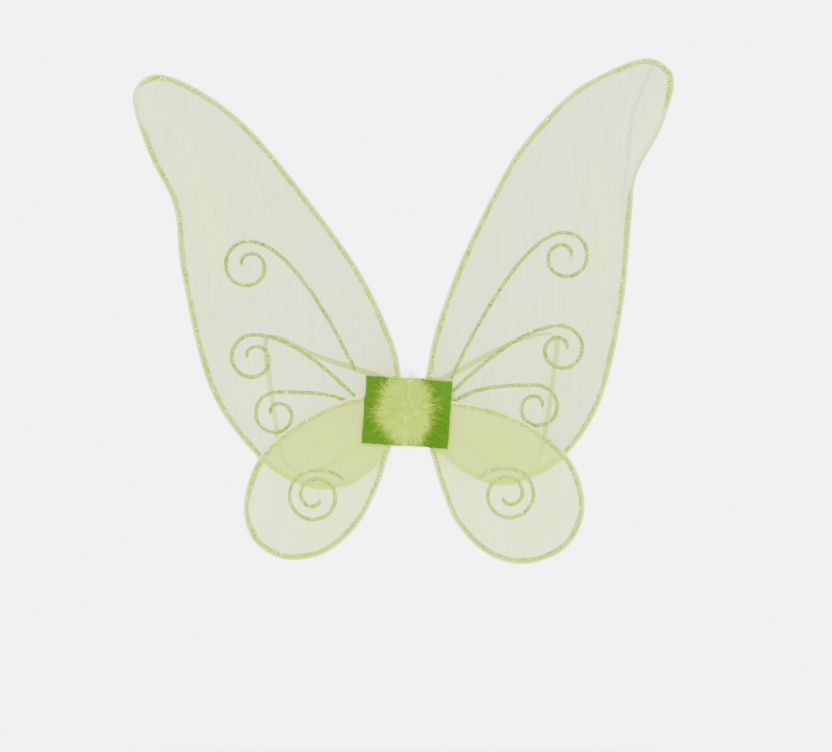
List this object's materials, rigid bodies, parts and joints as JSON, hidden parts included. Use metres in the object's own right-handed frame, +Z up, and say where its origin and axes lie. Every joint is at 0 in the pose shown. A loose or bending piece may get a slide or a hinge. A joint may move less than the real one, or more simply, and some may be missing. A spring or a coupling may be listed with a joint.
{
  "type": "fairy wings",
  "caption": "Costume fairy wings: sheer wire-framed wings with glitter scrolls, a felt hub with a fluffy pompom, and elastic arm loops.",
  "frame": {"origin": "middle of the felt pad's face that rests on the wearer's back", "axes": "+X towards the wearer's right, +Y towards the wearer's back, +Z up"},
  "size_m": [0.5361, 0.1952, 0.5026],
  "materials": {
    "felt": "pressed craft felt, fuzzy and matt",
    "wire": "plain aluminium craft wire, softly shiny",
    "sheer_fabric": "sheer stretch nylon, two layers, slightly pearly",
    "edge_glitter": "glitter glue with fine lime and silver flakes",
    "scroll_glitter": "glitter glue with fine olive and lime flakes",
    "elastic": "flat woven elastic, ribbed along its length",
    "thread": "twisted sewing thread",
    "tape": "crepe florist's tape",
    "hot_glue": "milky hot-melt glue",
    "marabou": "fluffy pale lime marabou down"
  },
  "bodies": {
    "hub": {"back_pad": "felt", "felt_patch": "felt", "binding_tape": "tape", "hub_glue": "hot_glue", "pompom_glue": "hot_glue", "pompom_knot": "marabou", "pompom_fluff": "marabou", "upper_left_wire_ends": "wire", "upper_right_wire_ends": "wire", "lower_left_wire_ends": "wire", "lower_right_wire_ends": "wire", "left_elastic_ends": "elastic", "right_elastic_ends": "elastic", "left_elastic_stitches": "thread", "right_elastic_stitches": "thread"},
    "upper_left_wing": {"upper_left_frame": "wire", "upper_left_sleeve": "sheer_fabric", "upper_left_edge_glitter": "edge_glitter", "upper_left_top_scroll": "scroll_glitter", "upper_left_middle_scroll": "scroll_glitter", "upper_left_bottom_scroll": "scroll_glitter"},
    "lower_left_wing": {"lower_left_frame": "wire", "lower_left_sleeve": "sheer_fabric", "lower_left_edge_glitter": "edge_glitter", "lower_left_scroll": "scroll_glitter"},
    "left_arm_loop": {"left_elastic_loop": "elastic"},
    "upper_right_wing": {"upper_right_frame": "wire", "upper_right_sleeve": "sheer_fabric", "upper_right_edge_glitter": "edge_glitter", "upper_right_top_scroll": "scroll_glitter", "upper_right_middle_scroll": "scroll_glitter", "upper_right_bottom_scroll": "scroll_glitter"},
    "lower_right_wing": {"lower_right_frame": "wire", "lower_right_sleeve": "sheer_fabric", "lower_right_edge_glitter": "edge_glitter", "lower_right_scroll": "scroll_glitter"},
    "right_arm_loop": {"right_elastic_loop": "elastic"}
  },
  "joints": [
    {"name": "left_fold", "type": "hinge", "parent": "hub", "child": "upper_left_wing", "pos_m": [-0.011, -0.007, 0], "axis": [0, 0, 1], "range_deg": [0, 45], "deforming": ["felt_patch", "pompom_fluff"]},
    {"name": "right_fold", "type": "hinge", "parent": "hub", "child": "upper_right_wing", "pos_m": [0.011, -0.007, 0], "axis": [0, 0, -1], "range_deg": [0, 45], "deforming": ["felt_patch", "pompom_fluff"]},
    {"name": "left_lower_fold", "type": "hinge", "parent": "hub", "child": "lower_left_wing", "pos_m": [-0.011, -0.007, 0], "axis": [0, 0, 1], "range_deg": [0, 52], "deforming": ["felt_patch", "pompom_fluff"]},
    {"name": "right_lower_fold", "type": "hinge", "parent": "hub", "child": "lower_right_wing", "pos_m": [0.011, -0.007, 0], "axis": [0, 0, -1], "range_deg": [0, 52], "deforming": ["felt_patch", "pompom_fluff"]},
    {"name": "left_loop_swing", "type": "hinge", "parent": "hub", "child": "left_arm_loop", "pos_m": [-0.043, -0.0026, 0], "axis": [0, 0, -1], "range_deg": [-8, 30]},
    {"name": "right_loop_swing", "type": "hinge", "parent": "hub", "child": "right_arm_loop", "pos_m": [0.043, -0.0026, 0], "axis": [0, 0, 1], "range_deg": [-8, 30]}
  ],
  "couplings": [
    {"joint": "left_lower_fold", "follows": "left_fold", "ratio": 1.15},
    {"joint": "right_lower_fold", "follows": "right_fold", "ratio": 1.15}
  ]
}
